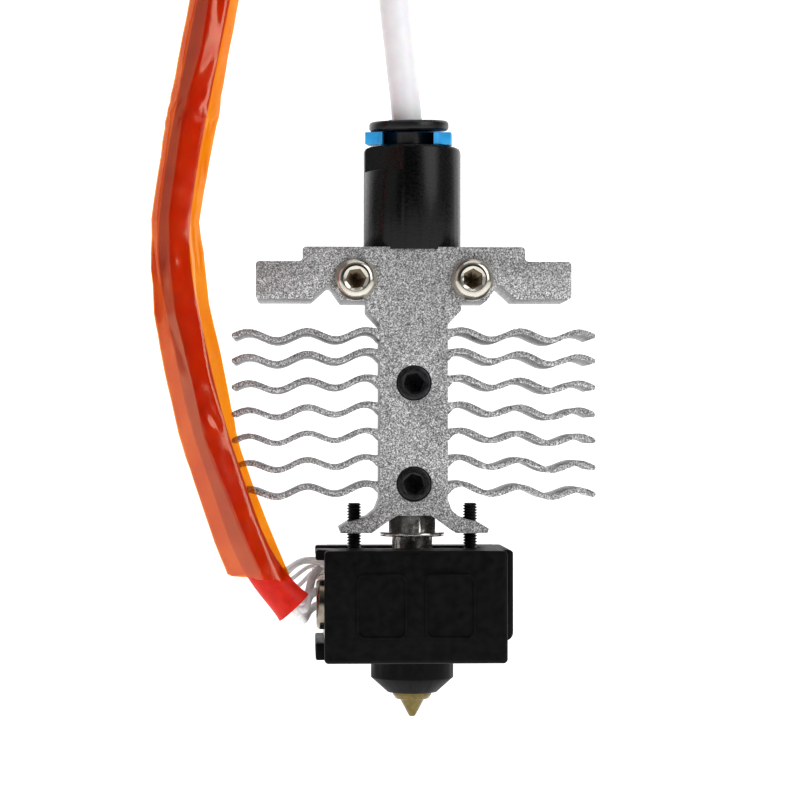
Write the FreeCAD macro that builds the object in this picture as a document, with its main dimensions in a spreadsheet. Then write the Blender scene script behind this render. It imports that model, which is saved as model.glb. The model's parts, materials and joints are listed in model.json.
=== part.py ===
import FreeCAD, Part
import math
import os
import Sketcher
from FreeCAD import Placement, Rotation, Vector

# A Bowden hotend: a wavy-fin heatsink, its push-fit coupler and tube, the heat break,
# the heater block in its silicone sock, the nozzle and the lead bundle.
# Frame: origin midway between the two carriage screws on the heatsink's back face,
# +X to the right, +Y out of the back face, +Z up. The nozzle points to -Z. Millimetres.

doc = FreeCAD.newDocument("hotend")
sheet = doc.addObject("Spreadsheet::Sheet", "dims")

DIMENSIONS = {
    # heatsink
    "sink_depth": 12.0, "axis_y": -6.0, "sink_top": 4.5, "head_half": 15.3, "step_level": 2.5,
    "wing_half": 21.7, "wing_bottom": -2.7, "wing_root_x": 14.1, "slope_x": 11.7, "slope_level": -0.5,
    "boss_low": -2.9, "boss_out": 10.0, "boss_in": 6.5, "neck_low": -4.2, "column_top": -6.2,
    "column_half": 4.65, "column_low": -30.2, "leg_x_a": 5.2, "leg_level_a": -31.7,
    "leg_x_b": 6.4, "leg_level_b": -32.7, "leg_x_c": 9.0, "leg_level_c": -33.4,
    "foot_half": 10.3, "foot_tip": -34.2, "foot_flat": 10.1, "foot_bottom": -34.8,
    "foot_inner": 5.8, "arch_x": 3.3, "arch_low": -33.0, "arch_half": 2.3, "arch_top": -32.4,
    "edge_round": 0.5, "fin_reach": 25.0, "fin_thick": 0.75, "fin_wave": 0.6, "fin_period": 8.1,
    "fin_peak": 6.6, "fin_droop": 0.05, "fin_droop_first": 0.017, "fin_flare": 0.45,
    # mounting hardware
    "mount_spacing": 16.0, "mount_hole_r": 1.6, "screw_r": 1.5, "stud_r": 1.34, "stud_reach": 8.0,
    "head_r": 2.95, "head_height": 1.85, "head_flat_r": 1.78, "socket_across": 2.5,
    "socket_deep": 1.3,
    # set screws that hold the heat break
    "set_r": 2.4, "set_hole_r": 2.45, "set_socket": 2.5, "set_proud": 0.15, "set_length": 2.75,
    "set_high": -14.2, "set_low": -28.07, "set_socket_deep": 1.7, "set_mouth_r": 1.62,
    # coupler
    "seat_r": 6.85, "seat_level": 4.2, "barrel_r": 6.8, "barrel_top": 18.7, "barrel_edge": 0.6,
    "stub_r": 4.5, "stub_hole_r": 4.55, "stub_low": -3.4, "stub_hole_low": -4.0,
    "chamber_r": 5.2, "chamber_low": 6.0, "chamber_top": 14.6, "throat_r": 4.2, "tube_way_r": 2.15,
    "flat_reach": 5.75, "flat_low": 15.2, "flat_turn": 135.0, "insert_r": 5.15, "insert_bore_r": 2.6, "insert_top": 8.0,
    "seal_ring_r": 2.95, "seal_wire_r": 0.8, "seal_level": 9.0,
    "claw_low": 10.1, "claw_top": 10.6, "claw_bore_r": 2.1, "claw_r": 5.1,
    "collet_low": 11.4, "collet_lip_top": 13.2, "collet_lip_r": 4.75, "collet_neck_r": 3.4,
    "collet_bore_r": 2.6, "ring_r": 5.55, "ring_low": 21.05, "ring_top": 22.45,
    "collet_lean": 1.25, "collet_shift": -0.25, "collet_bow": 4.5, "bow_level": 13.0,
    # locking clip
    "clip_half": 5.95, "clip_gap_half": 3.55, "clip_low": 19.1, "clip_top": 20.8,
    "clip_arm": 4.2, "clip_turn": 6.0, "clip_tab_half": 3.4, "clip_tab_low_y": 6.2,
    "clip_tab_high_y": 7.6, "clip_tab_top": 23.1, "clip_shift": -0.34,
    # filament path
    "tube_r": 2.0, "filament_r": 1.0, "liner_top": 1.6, "liner_low": -45.9, "tube_start": 2.0,
    "break_top": -12.0, "break_r": 3.25, "break_hole_r": 3.3, "flange_top": -34.9,
    "flange_low": -35.4, "flange_r": 4.5, "break_low_r": 2.85, "break_waist_r": 2.8,
    "break_end": -45.9, "break_bore_r": 2.05,
    # heater block
    "block_left": -12.3, "block_right": 11.2, "block_front": -17.3, "block_back": 1.7,
    "block_top": -38.5, "block_bottom": -50.4, "thread_r": 2.95, "thread_hole_r": 3.0,
    "nozzle_thread_r": 2.95, "nozzle_top": -46.0, "hex_top": -51.0, "hex_low": -55.5,
    "hex_circum_r": 3.46, "nose_r": 2.7, "nose_low": -57.45, "nose_end_r": 2.3, "nose_end": -58.0,
    "cone_r": 1.7, "cone_top": -58.1, "tip_r": 0.5, "tip_low": -60.5, "orifice_r": 0.2,
    "heater_y": -13.3, "heater_z": -44.4, "heater_r": 3.4, "heater_hole_r": 3.45,
    "heater_left": -13.4, "heater_right": 7.4, "heater_rim": 0.35,
    "sensor_y": -0.9, "sensor_z": -41.6, "sensor_r": 1.5, "sensor_hole_r": 1.55,
    "sensor_left": -14.0, "sensor_right": -1.8,
    "grub_r": 1.45, "grub_hole_r": 1.5, "grub_length": 2.4, "heater_grub_x": -3.5,
    "sensor_grub_x": -5.0, "clamp_x": 8.1, "clamp_r": 1.0, "clamp_hole_r": 1.05,
    "clamp_top": -30.8, "clamp_head_r": 1.9, "clamp_head_hole_r": 2.0, "clamp_head_low": -50.3,
    "clamp_head_top": -48.4,
    # sock
    "sock_half": 12.35, "sock_front": -18.6, "sock_back": 3.0, "sock_top": -36.95,
    "sock_bottom": -52.1, "sock_skin": 0.05, "cheek_right": 13.35, "cheek_front": -15.6,
    "cheek_top": -36.95, "cheek_low": -49.3, "lip_left": -13.5, "lip_low": -51.8, "lip_high": -49.5,
    "brow_low": -38.3, "door_low": -49.0, "slot_right": 9.4, "slot_front": -9.4, "slot_back": -2.2,
    "sock_neck_r": 5.75, "sock_neck_low": -55.0, "sock_mouth_r": 3.45, "sock_mouth": -57.06,
    "sock_bore_r": 3.62, "sock_bore_low": -55.7, "sock_mouth_bore_r": 2.8, "sock_fillet": 0.6, "cheek_round": 1.3,
    "relief_height": 0.22, "relief_line": 0.3,
    # leads
    "sleeve_r": 2.2, "film_r": 3.5, "film_bore_r": 3.2, "heater_wire_r": 0.6,
    "sensor_wire_r": 0.45, "plug_wide": 7.4, "plug_deep": 5.6, "plug_tall": 11.0,
    "plug_pitch": 2.5, "terminal_side": 1.5, "terminal_tall": 7.0,
    # coil of spare tube
    "coil_x": 18.8, "coil_z": 72.0, "coil_mid_r": 23.0, "coil_near": -8.1, "coil_far": 6.1,
    "coil_half": 2.15, "tie_x": 23.0, "tie_thick": 0.8, "tie_wide": 3.0, "tail_y": 4.0,
    "tail_end": 46.0,
}

for row, (name, number) in enumerate(DIMENSIONS.items(), start=1):
    sheet.set(f"A{row}", name)
    sheet.set(f"B{row}", str(number))
    sheet.setAlias(f"B{row}", name)
doc.recompute()

FIN_ROOTS = (-7.47, -10.27, -13.9, -17.6, -21.2, -24.9, -28.6)
UPWARD = Rotation()
TO_FRONT = Rotation(Vector(1, 0, 0), 90)
TO_LEFT = Rotation(Vector(0, 1, 0), -90)
AXIS = Vector(0, DIMENSIONS["axis_y"], 0)

nodes = {}
used_names = []


def dim(name):
    """A driving dimension, read back from the sheet."""
    return float(getattr(sheet, name))


def bind(expression):
    """The sheet's own names written out for an object's expression."""
    words = expression.replace("-", " - ").replace("+", " + ").split()
    return " ".join(f"dims.{word}" if word in DIMENSIONS else word for word in words)


def amount(expression):
    """The value of a sum or difference of dimensions."""
    total, sign = 0.0, 1.0
    for word in expression.replace("-", " - ").replace("+", " + ").split():
        if word in "+-":
            sign = 1.0 if word == "+" else -1.0
        else:
            total += sign * (dim(word) if word in DIMENSIONS else float(word))
    return total


def keep(obj, label):
    """Names the object as one piece of the assembly."""
    obj.Label = label
    nodes[label] = obj
    return obj


def fresh(stem):
    """An object name that is not in use."""
    used_names.append(stem)
    return f"{stem}_{len(used_names)}"


def origin_plane(body, role):
    return next(f for f in body.Origin.OriginFeatures if f.Role == role)


def new_sketch(body, role, stem, lift=None):
    sketch = body.newObject("Sketcher::SketchObject", fresh(stem))
    sketch.AttachmentSupport = [(origin_plane(body, role), "")]
    sketch.MapMode = "FlatFace"
    if lift:
        sketch.setExpression("AttachmentOffset.Base.z", bind(lift))
    return sketch


def closed_outline(sketch, corners):
    """Straight edges through corners given as pairs of expressions, each bound to the sheet."""
    points = [Vector(amount(x), amount(y), 0) for x, y in corners]
    count = len(points)
    for i in range(count):
        sketch.addGeometry(Part.LineSegment(points[i], points[(i + 1) % count]), False)
    for i in range(count):
        sketch.addConstraint(Sketcher.Constraint("Coincident", i, 2, (i + 1) % count, 1))
    for i, pair in enumerate(corners):
        for kind, text, place in zip(("DistanceX", "DistanceY"), pair, (points[i].x, points[i].y)):
            if kind == "DistanceX" and text == "0":
                sketch.addConstraint(Sketcher.Constraint("PointOnObject", i, 1, -2))
                continue
            index = sketch.addConstraint(Sketcher.Constraint(kind, -1, 1, i, 1, place))
            sketch.setExpression(f"Constraints[{index}]", bind(text))


def turned(stem, profile, base=AXIS, rotation=UPWARD):
    """A body turned about its own Z axis from a profile of (radius, level) expressions."""
    body = doc.addObject("PartDesign::Body", fresh(stem))
    sketch = new_sketch(body, "XZ_Plane", "profile")
    closed_outline(sketch, profile)
    feature = body.newObject("PartDesign::Revolution", fresh("turn"))
    feature.Profile = sketch
    feature.ReferenceAxis = (sketch, ["V_Axis"])
    feature.Angle = 360
    body.Placement = Placement(base, rotation)
    return body


def ring(stem, bore, outer, low, high, base=AXIS, rotation=UPWARD):
    profile = [(bore, low), (outer, low), (outer, high), (bore, high)]
    return turned(stem, profile, base, rotation)


def rod(stem, radius, low, high, base=AXIS, rotation=UPWARD):
    """A cylinder bound to the sheet, from one level to another along its own axis."""
    body = doc.addObject("Part::Cylinder", fresh(stem))
    body.setExpression("Radius", bind(radius))
    body.Height = amount(high) - amount(low)
    body.Placement = Placement(base + rotation.multVec(Vector(0, 0, amount(low))), rotation)
    return body


def slab(stem, x, y, z):
    """A box between pairs of expressions along X, Y and Z."""
    body = doc.addObject("Part::Box", fresh(stem))
    for side, (low, high) in zip(("Length", "Width", "Height"), (x, y, z)):
        gap = " - ".join(f"({bind(text)})" for text in (high, low))
        body.setExpression(side, gap)
    body.Placement = Placement(Vector(amount(x[0]), amount(y[0]), amount(z[0])), UPWARD)
    return body


def hexagon(stem, circumradius, height, base, rotation):
    body = doc.addObject("Part::Prism", fresh(stem))
    body.Polygon = 6
    body.Circumradius = circumradius
    body.Height = height
    body.Placement = Placement(base, rotation)
    return body


def fused(stem, parts):
    body = doc.addObject("Part::MultiFuse", fresh(stem))
    body.Shapes = parts
    body.Refine = True
    return body


def cut(stem, base, tools):
    body = doc.addObject("Part::Cut", fresh(stem))
    body.Base = base
    body.Tool = tools[0] if len(tools) == 1 else fused("tools", tools)
    return body


def made(stem, shape, placement=None):
    body = doc.addObject("Part::Feature", fresh(stem))
    body.Shape = shape
    if placement:
        body.Placement = placement
    return body


# ---------------------------------------------------------------- heatsink
def heatsink_core():
    """The head with its wings, the column and the flared feet, as one extruded outline."""
    right = [
        ("head_half", "sink_top"), ("head_half", "step_level"), ("wing_half", "step_level"),
        ("wing_half", "wing_bottom"), ("wing_root_x", "wing_bottom"), ("slope_x", "slope_level"),
        ("boss_out", "boss_low"), ("boss_in", "boss_low"), ("boss_in", "neck_low"),
        ("column_half", "column_top"), ("column_half", "column_low"), ("leg_x_a", "leg_level_a"),
        ("leg_x_b", "leg_level_b"), ("leg_x_c", "leg_level_c"), ("foot_half", "foot_tip"),
        ("foot_flat", "foot_bottom"), ("foot_inner", "foot_bottom"), ("arch_x", "arch_low"),
        ("arch_half", "arch_top"),
    ]
    left = [(f"0 - {x}", z) for x, z in reversed(right)]
    body = doc.addObject("PartDesign::Body", "heatsink_body")
    sketch = new_sketch(body, "XZ_Plane", "outline")
    closed_outline(sketch, right + left)
    pad = body.newObject("PartDesign::Pad", "head_and_column")
    pad.Profile = sketch
    pad.setExpression("Length", "dims.sink_depth")
    doc.recompute()
    return body, pad


def fin_line(root, droop, x):
    """Level of a fin's middle at a distance x from the filament axis."""
    wave = math.cos(2 * math.pi * (x - dim("fin_peak")) / dim("fin_period"))
    return root - droop * (x - dim("column_half")) + dim("fin_wave") * wave


def fin_edges(root, droop):
    """The fin's upper and lower edges as smooth curves and its tip as an arc."""
    start, stop, steps = dim("column_half") - 0.6, dim("fin_reach") - dim("fin_thick") / 2, 40
    upper, lower = [], []
    for i in range(steps + 1):
        x = start + (stop - start) * i / steps
        slope = (fin_line(root, droop, x + 0.01) - fin_line(root, droop, x - 0.01)) / 0.02
        normal = Vector(-slope, 1, 0).normalize()
        flare = dim("fin_flare") * math.exp((dim("column_half") - x) / 0.5)
        half = dim("fin_thick") / 2 + min(flare, dim("fin_flare"))
        middle = Vector(x, fin_line(root, droop, x), 0)
        upper.append(middle + normal * half)
        lower.append(middle - normal * half)
    across = (upper[-1] - lower[-1]).normalize()
    tip = middle + Vector(across.y, -across.x, 0) * half
    return upper, lower, tip


def add_fin(body, number, root, droop):
    upper, lower, tip = fin_edges(root, droop)
    sketch = new_sketch(body, "XZ_Plane", f"fin_outline_{number}")
    curves = []
    for line in (upper, lower):
        curve = Part.BSplineCurve()
        curve.interpolate(line)
        curves.append(curve)
    sketch.addGeometry(curves[0], False)
    sketch.addGeometry(Part.Arc(upper[-1], tip, lower[-1]), False)
    sketch.addGeometry(curves[1], False)
    sketch.addGeometry(Part.LineSegment(lower[0], upper[0]), False)
    pad = body.newObject("PartDesign::Pad", f"fin_{number}")
    pad.Profile = sketch
    pad.setExpression("Length", "dims.sink_depth")
    return pad


def make_heatsink():
    body, pad = heatsink_core()
    corners = [
        ("head_half", "sink_top"), ("head_half", "step_level"), ("wing_half", "step_level"),
        ("wing_half", "wing_bottom"), ("wing_root_x", "wing_bottom"), ("slope_x", "slope_level"),
    ]
    wanted = [(side * dim(x), dim(z)) for x, z in corners for side in (1, -1)]
    names = []
    for i, edge in enumerate(pad.Shape.Edges, start=1):
        ends = [vertex.Point for vertex in edge.Vertexes]
        along_y = len(ends) == 2 and abs(abs(ends[0].y - ends[1].y) - dim("sink_depth")) < 1e-6
        if along_y and any(math.hypot(ends[0].x - x, ends[0].z - z) < 1e-3 for x, z in wanted):
            names.append(f"Edge{i}")
    rounded = body.newObject("PartDesign::Fillet", "rounded_corners")
    rounded.Base = (pad, names)
    rounded.setExpression("Radius", "dims.edge_round")
    doc.recompute()
    fins = []
    for number, root in enumerate(FIN_ROOTS, start=1):
        droop = dim("fin_droop_first") if number == 1 else dim("fin_droop")
        fins.append(add_fin(body, number, root, droop))
    doc.recompute()
    mirror = body.newObject("PartDesign::Mirrored", "left_fins")
    mirror.Originals = fins
    mirror.MirrorPlane = (origin_plane(body, "YZ_Plane"), [""])
    body.Tip = mirror
    doc.recompute()

    half = "mount_spacing"
    holes = [
        rod("coupler_hole", "stub_hole_r", "stub_hole_low", "sink_top + 1"),
        rod("coupler_seat", "seat_r", "seat_level", "sink_top + 1"),
        rod("tube_hole", "tube_way_r", "break_top - 1", "sink_top"),
        rod("break_hole", "break_hole_r", "foot_bottom", "break_top + 0.1"),
    ]
    for side in (1, -1):
        screw_line = Vector(side * dim(half) / 2, 0, 0)
        holes.append(rod("screw_hole", "mount_hole_r", "0 - 1", "sink_depth + 1", screw_line, TO_FRONT))
        clamp_line = Vector(side * dim("clamp_x"), dim("axis_y"), 0)
        holes.append(rod("clamp_hole", "clamp_hole_r", "foot_bottom - 1", "column_low", clamp_line))
    for level in ("set_high", "set_low"):
        line = Vector(0, 0, dim(level))
        holes.append(rod("set_hole", "set_hole_r", "0 - axis_y", "sink_depth + 1", line, TO_FRONT))
    keep(cut("heatsink", body, holes), "heatsink")


# ---------------------------------------------------------------- mounting hardware
def socket_cutter(top, across, deep, base, rotation):
    """A hexagonal recess that opens at a level along the screw's own axis."""
    circumradius = across / math.sqrt(3)
    floor = base + rotation.multVec(Vector(0, 0, top - deep))
    return hexagon("socket", circumradius, deep + 1, floor, rotation)


def make_mount_screws():
    """Two button-head screws whose threaded ends stand out of the back face."""
    seat = "sink_depth + 0.02"
    dome = [(0, 0), (0, 0.25), (0.07, 0.65), (0.27, 1.1), (0.6, 1.5), (1.0, 1.78)]
    profile = [
        ("0", "0 - stud_reach"), ("stud_r - 0.3", "0 - stud_reach"), ("stud_r", "0.3 - stud_reach"),
        ("stud_r", "0"), ("screw_r", "0"), ("screw_r", seat),
    ]
    profile += [(f"head_r - {inward}", f"{seat} + {rise}") for inward, rise in dome]
    profile += [
        ("head_flat_r", f"{seat} + head_height"), ("head_flat_r - 0.1", f"{seat} + head_height"),
        ("head_flat_r - 0.35", f"{seat} + head_height - 0.25"),
        ("0", f"{seat} + head_height - 0.25"),
    ]
    for name, side in (("left", -1), ("right", 1)):
        line = Vector(side * dim("mount_spacing") / 2, 0, 0)
        screw = turned(f"mount_screw_{name}", profile, line, TO_FRONT)
        socket = socket_cutter(amount(f"{seat} + head_height"), dim("socket_across"),
                               dim("socket_deep"), line, TO_FRONT)
        keep(cut("mount_screw", screw, [socket]), f"mount_screw_{name}")


def make_set_screws():
    """Two grub screws in the front of the column that press on the heat break."""
    end = "sink_depth + set_proud"
    low = f"{end} - set_length"
    profile = [
        ("0", low), ("set_r - 0.5", low), ("set_r", f"{low} + 0.5"), ("set_r", f"{end} - 0.3"),
        ("set_r - 0.3", end), ("set_mouth_r", end), ("set_mouth_r - 0.3", f"{end} - 0.3"),
        ("0", f"{end} - 0.3"),
    ]
    for name, level in (("upper", "set_high"), ("lower", "set_low")):
        line = Vector(0, 0, dim(level))
        screw = turned(f"set_screw_{name}", profile, line, TO_FRONT)
        socket = socket_cutter(amount(end), dim("set_socket"), dim("set_socket_deep"), line, TO_FRONT)
        keep(cut("set_screw", screw, [socket]), f"set_screw_{name}")


# ---------------------------------------------------------------- coupler
def bowed(placement):
    """A placement tipped forward with the collet, towards the side the tube bends to."""
    pivot = AXIS + Vector(0, 0, dim("bow_level"))
    return Placement(Vector(), Rotation(Vector(1, 0, 0), dim("collet_bow")), pivot).multiply(placement)


def make_coupler():
    """The barrel, the pieces pressed into it, the collet that slides in it and its clip."""
    edge_low, edge_in = "barrel_top - barrel_edge", "barrel_r - barrel_edge"
    barrel = turned("barrel", [
        ("tube_way_r", "stub_low"), ("stub_r", "stub_low"), ("stub_r", "seat_level"),
        ("barrel_r", "seat_level"), ("barrel_r", edge_low), ("barrel_r - 0.18", "barrel_top - 0.18"),
        (edge_in, "barrel_top"), ("throat_r", "barrel_top"), ("throat_r", "chamber_top"),
        ("chamber_r", "chamber_top"), ("chamber_r", "chamber_low"), ("tube_way_r", "chamber_low"),
    ])
    flat = slab("wrench_flat", ("flat_reach", "flat_reach + 3"), ("0 - 7", "7"),
                ("flat_low", "barrel_top + 1"))
    flat.Placement = Placement(AXIS, Rotation(Vector(0, 0, 1), -dim("flat_turn"))).multiply(flat.Placement)
    keep(cut("coupler_barrel", barrel, [flat]), "coupler_barrel")
    keep(ring("insert", "insert_bore_r", "insert_r", "chamber_low", "insert_top"), "coupler_insert")
    seal = doc.addObject("Part::Torus", fresh("seal"))
    seal.setExpression("Radius1", "dims.seal_ring_r")
    seal.setExpression("Radius2", "dims.seal_wire_r")
    seal.Placement = Placement(AXIS + Vector(0, 0, dim("seal_level")), UPWARD)
    keep(seal, "seal_ring")
    keep(ring("claw", "claw_bore_r", "claw_r", "claw_low", "claw_top"), "grip_claw")

    lean = Rotation(Vector(0, 1, 0), -dim("collet_lean"))
    collet = turned("collet", [
        ("collet_bore_r", "collet_low"), ("collet_lip_r - 0.6", "collet_low"),
        ("collet_lip_r", "collet_low + 0.6"), ("collet_lip_r", "collet_lip_top"),
        ("collet_neck_r", "collet_lip_top"), ("collet_neck_r", "ring_low"), ("ring_r - 0.3", "ring_low"),
        ("ring_r", "ring_low + 0.3"), ("ring_r", "ring_top - 0.3"), ("ring_r - 0.3", "ring_top"),
        ("collet_bore_r + 0.5", "ring_top"), ("collet_bore_r", "ring_top - 0.5"),
    ])
    pivot = AXIS + Vector(dim("collet_shift"), 0, dim("collet_low"))
    collet.Placement = bowed(Placement(pivot - lean.multVec(Vector(0, 0, dim("collet_low"))), lean))
    keep(collet, "collet")


def make_clip():
    """The removable clip: two arms and a round back under the collet's ring, and a grip tab."""
    plate = doc.addObject("Part::Cylinder", fresh("clip_back"))
    plate.setExpression("Radius", "dims.clip_half")
    plate.setExpression("Height", "dims.clip_top - dims.clip_low")
    plate.Placement = Placement(Vector(0, 0, dim("clip_low")), UPWARD)
    arms = slab("clip_arms", ("0 - clip_half", "clip_half"), ("0 - clip_arm", "0"),
                ("clip_low", "clip_top"))
    bridge = slab("clip_bridge", ("0 - clip_tab_half", "clip_tab_half"), ("4", "clip_tab_high_y"),
                  ("clip_low", "clip_top"))
    tab = slab("clip_tab", ("0 - clip_tab_half", "clip_tab_half"),
               ("clip_tab_low_y", "clip_tab_high_y"), ("clip_low", "clip_tab_top"))
    bore = doc.addObject("Part::Cylinder", fresh("clip_bore"))
    bore.setExpression("Radius", "dims.clip_gap_half")
    bore.Height = 5
    bore.Placement = Placement(Vector(0, 0, dim("clip_low") - 1), UPWARD)
    gap = slab("clip_gap", ("0 - clip_gap_half", "clip_gap_half"), ("0 - clip_half", "0"),
               ("clip_low - 1", "clip_top + 1"))
    clip = cut("locking_clip", fused("clip_solid", [plate, arms, bridge, tab]), [bore, gap])
    turn = Rotation(Vector(0, 0, 1), -dim("clip_turn"))
    clip.Placement = bowed(Placement(AXIS + Vector(dim("clip_shift"), 0, 0), turn))
    keep(clip, "locking_clip")


# ---------------------------------------------------------------- filament path
def make_filament_path():
    keep(ring("liner", "filament_r", "tube_r", "liner_low", "liner_top"), "throat_liner")
    heat_break = turned("heat_break", [
        ("break_bore_r", "break_end"), ("thread_r", "break_end"), ("thread_r", "block_top - 0.5"),
        ("break_waist_r", "block_top"), ("break_waist_r", "flange_low - 1"),
        ("break_low_r", "flange_low - 0.8"), ("break_low_r", "flange_low"), ("flange_r", "flange_low"),
        ("flange_r", "flange_top"), ("break_r", "flange_top"), ("break_r", "break_top - 0.3"),
        ("break_r - 0.3", "break_top"), ("break_bore_r", "break_top"),
    ])
    keep(heat_break, "heat_break")


def make_nozzle():
    """Threaded top, hexagon and conical tip, all bored for the filament."""
    thread = turned("nozzle_thread", [
        ("0", "hex_top"), ("nozzle_thread_r", "hex_top"), ("nozzle_thread_r", "nozzle_top - 0.3"),
        ("nozzle_thread_r - 0.3", "nozzle_top"), ("0", "nozzle_top"),
    ])
    flats = hexagon("nozzle_hexagon", dim("hex_circum_r"), dim("hex_top") - dim("hex_low"),
                    AXIS + Vector(0, 0, dim("hex_low")), UPWARD)
    tip = turned("nozzle_tip", [
        ("0", "tip_low"), ("tip_r - 0.15", "tip_low"), ("tip_r", "tip_low + 0.2"),
        ("cone_r", "cone_top"), ("nose_end_r", "nose_end"), ("nose_r", "nose_low"),
        ("nose_r", "hex_low"), ("0", "hex_low"),
    ])
    bore = rod("nozzle_bore", "filament_r", "nose_end + 0.6", "nozzle_top + 1")
    orifice = rod("nozzle_orifice", "orifice_r", "tip_low - 1", "nose_end + 1")
    keep(cut("nozzle", fused("nozzle_solid", [thread, flats, tip]), [bore, orifice]), "nozzle")


# ---------------------------------------------------------------- heater block
def make_block():
    block = slab("block", ("block_left", "block_right"), ("block_front", "block_back"),
                 ("block_bottom", "block_top"))
    heater_line = Vector(0, dim("heater_y"), dim("heater_z"))
    sensor_line = Vector(0, dim("sensor_y"), dim("sensor_z"))
    holes = [
        rod("thread_hole", "thread_hole_r", "block_bottom - 1", "block_top + 1"),
        rod("heater_hole", "heater_hole_r", "0 - block_right - 1", "0 - block_left + 1",
            heater_line, TO_LEFT),
        rod("sensor_hole", "sensor_hole_r", "0 - sensor_right - 0.1", "0 - block_left + 1",
            sensor_line, TO_LEFT),
    ]
    grub_lines = (
        ("cartridge_set_screw", Vector(dim("heater_grub_x"), dim("heater_y"), 0), "heater_z - heater_hole_r"),
        ("thermistor_set_screw", Vector(dim("sensor_grub_x"), dim("sensor_y"), 0), "sensor_z - sensor_hole_r"),
    )
    for name, line, seat in grub_lines:
        holes.append(rod("grub_hole", "grub_hole_r", "block_bottom - 1", f"{seat} + 0.3", line))
        top = amount(seat) - 0.05
        low = top - dim("grub_length")
        grub = turned(name, [
            ("0", str(round(low, 3))), ("grub_r", str(round(low, 3))),
            ("grub_r", str(round(top - 0.4, 3))), ("grub_r - 0.4", str(round(top, 3))),
            ("0", str(round(top, 3))),
        ], line)
        recess = hexagon("recess", 0.85, 1.2, line + Vector(0, 0, low - 0.1), UPWARD)
        keep(cut("grub", grub, [recess]), name)
    for name, side in (("left", -1), ("right", 1)):
        line = Vector(side * dim("clamp_x"), dim("axis_y"), 0)
        holes.append(rod("clamp_hole", "clamp_hole_r", "block_bottom - 1", "block_top + 1", line))
        holes.append(rod("clamp_recess", "clamp_head_hole_r", "block_bottom - 1",
                         "clamp_head_top + 0.05", line))
        screw = turned(f"clamp_{name}", [
            ("0", "clamp_head_low"), ("clamp_head_r", "clamp_head_low"),
            ("clamp_head_r", "clamp_head_top"), ("clamp_r", "clamp_head_top"),
            ("clamp_r", "clamp_top - 0.2"), ("clamp_r - 0.2", "clamp_top"), ("0", "clamp_top"),
        ], line)
        recess = hexagon("recess", 0.87, 1.1, line + Vector(0, 0, dim("clamp_head_low") - 0.1), UPWARD)
        keep(cut("clamp_screw", screw, [recess]), f"block_screw_{name}")
    keep(cut("heater_block", block, holes), "heater_block")


def make_heater_and_sensor():
    line = Vector(0, dim("heater_y"), dim("heater_z"))
    cartridge = turned("cartridge", [
        ("0", "0 - heater_right"), ("heater_r - 0.3", "0 - heater_right"),
        ("heater_r", "0.3 - heater_right"), ("heater_r", "0 - heater_left - heater_rim"),
        ("heater_r - heater_rim", "0 - heater_left"), ("0", "0 - heater_left"),
    ], line, TO_LEFT)
    keep(cartridge, "heater_cartridge")
    line = Vector(0, dim("sensor_y"), dim("sensor_z"))
    sensor = turned("sensor", [
        ("0", "0 - sensor_right"), ("sensor_r - 0.3", "0 - sensor_right"),
        ("sensor_r", "0.3 - sensor_right"), ("sensor_r", "0 - sensor_left"), ("0", "0 - sensor_left"),
    ], line, TO_LEFT)
    keep(sensor, "thermistor")


# ---------------------------------------------------------------- sock
def relief_frame(middle_x):
    """One raised rounded outline on the sock's front, purely decorative."""
    wide, tall, line = 3.4, 4.4, dim("relief_line")
    middle = Vector(middle_x, dim("sock_front"), -44.4)
    solids = []
    for inset in (0.0, line):
        half_w, half_t = wide - inset, tall - inset
        solid = Part.makeBox(2 * half_w, dim("relief_height") + 0.2, 2 * half_t,
                             middle + Vector(-half_w, -dim("relief_height"), -half_t))
        upright = [e for e in solid.Edges if abs(e.Vertexes[0].Y - e.Vertexes[1].Y) > 0.3]
        solids.append(solid.makeFillet(1.2 - inset, upright))
    return solids[0].cut(solids[1])


def softened(block, radius_of):
    """The block with each edge rounded by the radius that radius_of gives for its box."""
    doc.recompute()
    rounded = doc.addObject("Part::Fillet", fresh("softened"))
    rounded.Base = block
    radii = [(i, radius_of(edge.BoundBox)) for i, edge in enumerate(block.Shape.Edges, start=1)]
    rounded.Edges = [(i, radius, radius) for i, radius in radii if radius]
    return rounded


def cheek_radius(box):
    """Large below and small above on the cheek's free right side."""
    if box.XMin < dim("cheek_right") - 0.1:
        return 0
    low = box.ZMax < dim("cheek_low") + 0.1
    return dim("cheek_round") if low else dim("sock_fillet")


def left_radius(box):
    return dim("sock_fillet") / 2 if box.XMax < dim("lip_left") + 0.1 else 0


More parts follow.
